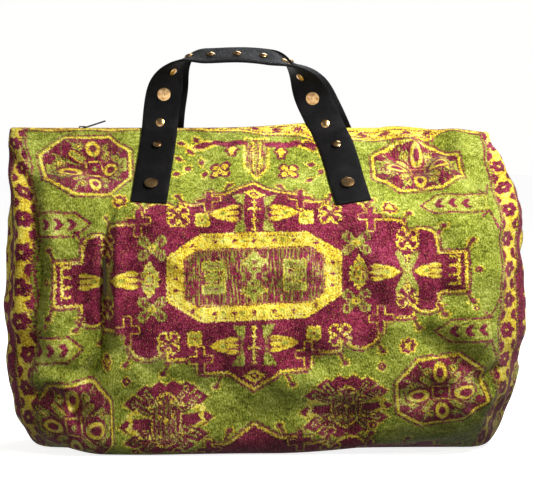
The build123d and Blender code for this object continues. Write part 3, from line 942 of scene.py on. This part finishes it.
def metal_material(name, dark, light, roughness, metallic=1.0):
    """Plated metal with faint tarnish and rubbed spots."""
    material, tree, shader = new_material(name)
    where = position(tree)
    tarnish = noise(tree, where, 260, 4, 0.6)
    rub = noise(tree, where, 1900, 2)
    fill(tree, shader, Base_Color=mix(tree, remap(tree, tarnish, 0.35, 0.65), dark, light),
         Roughness=remap(tree, tarnish, 0.3, 0.7, roughness * 1.35, roughness * 0.8), Metallic=metallic,
         Normal=bump(tree, rub, 0.12, 0.0002))
    return material


def plastic_material(name, dark, light):
    material, tree, shader = new_material(name)
    speckle = noise(tree, position(tree), 700, 3)
    fill(tree, shader, Base_Color=mix(tree, speckle, dark, light), Roughness=0.42,
         Normal=bump(tree, speckle, 0.15, 0.0002))
    return material


# ---- carpet pieces
CLOTH_STEP = 2.0
BACKING_STEP = 7.0
BACKING_INSET, BACKING_LOWEST = 3.4, 1.2
# Keeps the back's tufts from repeating the front's.
BACK_TUFTS = 500.0


def bag_half(step, rear):
    points, u, v = half_form(step)
    folds, seed = (BACK_FOLDS, BACK_SEED) if rear else (FRONT_FOLDS, FRONT_SEED)
    return sag(points, u, v, folds, seed, rear), u, v


def to_rear_side(points):
    turned = points.copy()
    turned[..., 1] *= -1
    return turned


def build_carpet(name, rear, material):
    points, u, v = bag_half(CLOTH_STEP, rear)
    pile = draw_pattern(u, v, rear)
    faces = grid_faces(*u.shape)
    if rear:
        points = to_rear_side(points)
        faces = [face[::-1] for face in faces]
    piece = add_mesh(name, points.reshape(-1, 3), faces)
    mesh = piece.data
    for layer, values in pile.field.items():
        mesh.attributes.new(layer, "FLOAT", "POINT").data.foreach_set("value", values.astype(np.float32))
    cloth = np.stack([pile.p, pile.q, np.full(pile.p.shape, BACK_TUFTS * rear)], axis=1).astype(np.float32)
    mesh.attributes.new("cloth", "FLOAT_VECTOR", "POINT").data.foreach_set("vector", cloth.ravel())
    mesh.materials.append(material)
    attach(piece, "bag")
    return piece


def build_backing(material):
    """The woven back of the carpet, seen only through the zip."""
    points, faces = [], []
    for rear in (False, True):
        half, u, _ = bag_half(BACKING_STEP, rear)
        half = half - grid_normals(half) * BACKING_INSET
        half[..., 2] = np.maximum(half[..., 2], BACKING_LOWEST)
        quads = grid_faces(*u.shape)
        if rear:
            half = to_rear_side(half)
        else:
            quads = [q[::-1] for q in quads]
        faces += [[i + len(points) for i in q] for q in quads]
        points += half.reshape(-1, 3).tolist()
    piece = add_mesh("carpet_backing", np.array(points), faces)
    piece.data.materials.append(material)
    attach(piece, "bag")


# ---- straps
# The strap's middle line, as in the CAD model: X, and distance up or down the roof face.
HANDLE_POINTS = [
    (-118, -94), (-114, -47), (-110, 0), (-104.5, 53), (-96, 76), (-82, 90), (-58, 93.5), (-30, 94.5),
    (0, 92.5), (22, 87), (40, 73), (54, 48), (75.5, 0), (86, -47), (95.5, -94),
]
STRAP_WIDTH, STRAP_THICKNESS = 38.0, 3.0
STRAP_TWIST, TWIST_START, TWIST_END = math.radians(112), 38.0, 121.0
STRAP_COLUMNS, BLEND_REACH = 190, 7.0
HINGE_STRAIGHT, HINGE_RADIUS, ARCH_FORWARD = 8.0, 25.0, 10.0
FACE_SLOPE = math.atan2(91, 82)
HINGE = np.array([0, -(12 + 12 * 91 / 82), 328.0])
UP_FACE = np.array([0, math.sin(FACE_SLOPE), math.cos(FACE_SLOPE)])
OFF_FACE = np.array([0, -math.cos(FACE_SLOPE), math.sin(FACE_SLOPE)])


def natural_spline(points, count):
    """Points evenly spaced along the cubic spline through points, and the spacing's running length."""
    points = np.asarray(points, float)
    knots = running_length(points)
    gap = np.diff(knots)
    n = len(points)
    system, right = np.eye(n), np.zeros((n, 2))
    for i in range(1, n - 1):
        system[i, i - 1:i + 2] = gap[i - 1], 2 * (gap[i - 1] + gap[i]), gap[i]
        right[i] = 6 * ((points[i + 1] - points[i]) / gap[i] - (points[i] - points[i - 1]) / gap[i - 1])
    second = np.linalg.solve(system, right)
    t = np.linspace(0, knots[-1], 4000)
    i = np.clip(np.searchsorted(knots, t, side="right") - 1, 0, n - 2)
    a, b, h = (knots[i + 1] - t)[:, None], (t - knots[i])[:, None], gap[i][:, None]
    curve = (second[i] * a**3 + second[i + 1] * b**3) / (6 * h)
    curve += (points[i] / h - second[i] * h / 6) * a + (points[i + 1] / h - second[i + 1] * h / 6) * b
    run = running_length(curve)
    even = np.linspace(0, run[-1], count)
    return resample(even, run, curve), even


def strap_frames(count):
    """Centres of the strap's sections with their width and outward directions."""
    flat, run = natural_spline(HANDLE_POINTS, count)
    x, h = flat[:, 0], flat[:, 1]
    above = np.nonzero(h > 0)[0]
    left, right = run[above[0]], run[above[-1]]
    share = ramp(np.minimum(run - left, right - run), TWIST_START, TWIST_END)
    bend = np.clip((h - HINGE_STRAIGHT) / HINGE_RADIUS, 0, FACE_SLOPE)
    straight = h - HINGE_STRAIGHT - HINGE_RADIUS * bend
    up = HINGE_STRAIGHT + HINGE_RADIUS * np.sin(bend) + straight * np.cos(bend)
    off = HINGE_RADIUS * (1 - np.cos(bend)) + straight * np.sin(bend) + STRAP_THICKNESS / 2
    forward = ARCH_FORWARD * share
    up, off = up - forward * np.sin(bend), off + forward * np.cos(bend)
    centre = np.stack([x, up, off], axis=1)
    along = unit(np.gradient(centre, axis=0))
    upright = np.stack([0 * bend, np.cos(bend), np.sin(bend)], axis=1)
    outward = along[:, :1] * upright
    outward[:, 0] = -(along * upright).sum(axis=1)
    front = unit(np.cross(unit(outward), along))
    outward = np.cross(along, front)
    turn = (STRAP_TWIST * share)[:, None]
    normal = front * np.cos(turn) + outward * np.sin(turn)
    width = np.cross(normal, along)

    def world(local):
        return local[:, :1] * np.array([1, 0, 0]) + local[:, 1:2] * UP_FACE + local[:, 2:] * OFF_FACE

    return world(centre) + HINGE, world(width), world(normal)


def strap_section():
    """Outline of the strap's section with rounded edges and a faint crown, as (across, out)."""
    half, thick, edge = STRAP_WIDTH / 2, STRAP_THICKNESS / 2, 1.1
    across = np.linspace(-half + edge, half - edge, 11)
    top = [(a, thick - 0.25 * (a / half) ** 4) for a in across]
    right = [(half - edge + edge * math.sin(t), (thick - 0.25) * math.cos(t))
             for t in (0.5, 1.05, 1.57, 2.09, 2.64)]
    below = [(a, -thick + 0.15) for a in across[::-1]]
    left = [(-a, -b) for a, b in right]
    return top + right + below + left


def build_strap(name, rear, material):
    count = STRAP_COLUMNS
    centre, width, normal = strap_frames(count)
    section = strap_section()
    draw = np.random.RandomState(41 if rear else 40)
    curl = 0.35 * np.sin(np.linspace(0, 19, count) + draw.uniform(0, 6))
    points = []
    for k in range(count):
        for a, b in section:
            trim = 1.0 - 0.012 * (k in (0, count - 1))
            lift = curl[k] * (a / (STRAP_WIDTH / 2)) ** 2 * min(k, count - 1 - k, 12) / 12
            points.append(centre[k] + width[k] * a * trim + normal[k] * (b * trim + 0.3 * lift))
    points = np.array(points)
    if rear:
        points[:, 1] *= -1
        points[:, 0] += REAR_SHIFT
    n = len(section)
    faces = [[k * n + i, k * n + (i + 1) % n, (k + 1) * n + (i + 1) % n, (k + 1) * n + i]
             for k in range(count - 1) for i in range(n)]
    faces += [list(range(n))[::-1], [(count - 1) * n + i for i in range(n)]]
    if not rear:
        faces = [f[::-1] for f in faces]
    piece = add_mesh(name, points, faces)
    piece.data.materials.append(material)
    side, sign = ("rear", -1) if rear else ("front", 1)
    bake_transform(piece)
    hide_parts(f"{side}_handle_strap", f"{side}_strap_end_left", f"{side}_strap_end_right")


# ---- room and camera


FLOOR_HALF = 6000


def build_room():
    material, tree, shader = new_material("pale_floor")
    fill(tree, shader, Base_Color=(0.72, 0.72, 0.72, 1), Roughness=0.8, Emission_Color=(1, 1, 1, 1),
         Emission_Strength=0.85)
    corners = [(x * FLOOR_HALF, y * FLOOR_HALF, 0) for x, y in ((-1, -1), (1, -1), (1, 1), (-1, 1))]
    floor = add_mesh("floor", corners, [[0, 1, 2, 3]])
    floor.data.materials.append(material)
    floor.visible_diffuse = False
    world = bpy.data.worlds.new("studio")
    bpy.context.scene.world = world
    world.use_nodes = True
    sky = world.node_tree
    # Bright at the horizon, dimmer overhead, dark from below, so the belly turns into shade.
    split = node(sky, "ShaderNodeSeparateXYZ")
    sky.links.new(node(sky, "ShaderNodeTexCoord").outputs["Generated"], split.inputs[0])
    overhead = remap(sky, split.outputs["Z"], 0.03, 0.12, 1.0, 0.14)
    below = remap(sky, split.outputs["Z"], -0.16, -0.07, 0.05, 1.0)
    sky.links.new(math_node(sky, "MULTIPLY", overhead, below), sky.nodes["Background"].inputs["Strength"])
    sky.nodes["Background"].inputs["Color"].default_value = (1.0, 0.997, 0.99, 1)


def place(name, data, where, target):
    """An object with this data, looking at target."""
    thing = bpy.data.objects.new(name, data)
    thing.location = where
    thing.rotation_euler = (Vector(target) - thing.location).to_track_quat("-Z", "Y").to_euler()
    bpy.context.scene.collection.objects.link(thing)
    return thing


def add_light(name, where, target, size, power, colour):
    data = bpy.data.lights.new(name, "AREA")
    data.shape, data.size, data.energy, data.color = "DISK", size, power, colour
    place(name, data, where, target)


def add_spot(name, where, target, degrees, power):
    """A soft pool of light on the middle of the face."""
    data = bpy.data.lights.new(name, "SPOT")
    data.spot_size, data.spot_blend = math.radians(degrees), 1.0
    data.shadow_soft_size, data.energy = 0.12, power
    place(name, data, where, target)


CAMERA_DISTANCE, CAMERA_LIFT = 3.5, math.radians(4)
CAMERA_AIM = Vector((0.0047, -0.105, 0.2195))
# Width of the view at the aim, in metres, and the sensor's width in millimetres.
VIEW_WIDTH, SENSOR_WIDTH = 0.5543, 36


def build_camera():
    """Level with the bag and a little above, far enough for a near-flat view."""
    data = bpy.data.cameras.new("camera")
    data.sensor_width = SENSOR_WIDTH
    data.lens = SENSOR_WIDTH * CAMERA_DISTANCE / VIEW_WIDTH
    data.clip_end = 100
    where = CAMERA_AIM + CAMERA_DISTANCE * Vector((0, -math.cos(CAMERA_LIFT), math.sin(CAMERA_LIFT)))
    bpy.context.scene.camera = place("camera", data, where, CAMERA_AIM)


# ---- build
build_room()
build_camera()
add_light("key", (0.95, -0.75, 1.6), (0, 0, 0.25), 0.3, 30, (1.0, 0.985, 0.96))
add_light("fill", (-1.8, -1.6, 1.2), (0, 0, 0.2), 1.6, 4, (1.0, 0.93, 0.84))
add_spot("front", (1.9, -2.3, 1.75), (0.08, -0.1, 0.275), 10.0, 400)
add_light("back", (0.6, 1.8, 1.9), (0, 0, 0.25), 1.5, 30, (0.95, 0.98, 1.0))

pile_cloth = pile_material()
hide = leather_material()
front = build_carpet("carpet_front", False, pile_cloth)
build_carpet("carpet_back", True, pile_cloth)
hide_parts("carpet_body")
build_backing(weave_material("jute_back", (0.16, 0.11, 0.05), (0.42, 0.33, 0.18), 420))
build_strap("front_strap", False, hide)
build_strap("rear_strap", True, hide)

brass = metal_material("brass", (0.36, 0.19, 0.07), (0.78, 0.52, 0.25), 0.22)
black_metal = metal_material("black_enamel", (0.010, 0.010, 0.011), (0.03, 0.03, 0.032), 0.35, 0.4)
nylon = plastic_material("black_nylon", (0.008, 0.008, 0.009), (0.02, 0.02, 0.022))
tape = weave_material("zip_tape", (0.006, 0.006, 0.007), (0.022, 0.022, 0.024), 900)
CAD_FINISH = {
    "stud_brass": brass, "zip_metal": black_metal, "zip_cloth": tape,
    "zip_nylon": nylon, "pull_black": nylon,
}
for part in frame["record"]["subparts"]:
    finish = CAD_FINISH.get(part["material_slot"])
    if finish:
        mesh = frame["nodes"][part["node"]].data
        mesh.materials.clear()
        mesh.materials.append(finish)

bpy.context.scene.view_settings.view_transform = "Standard"
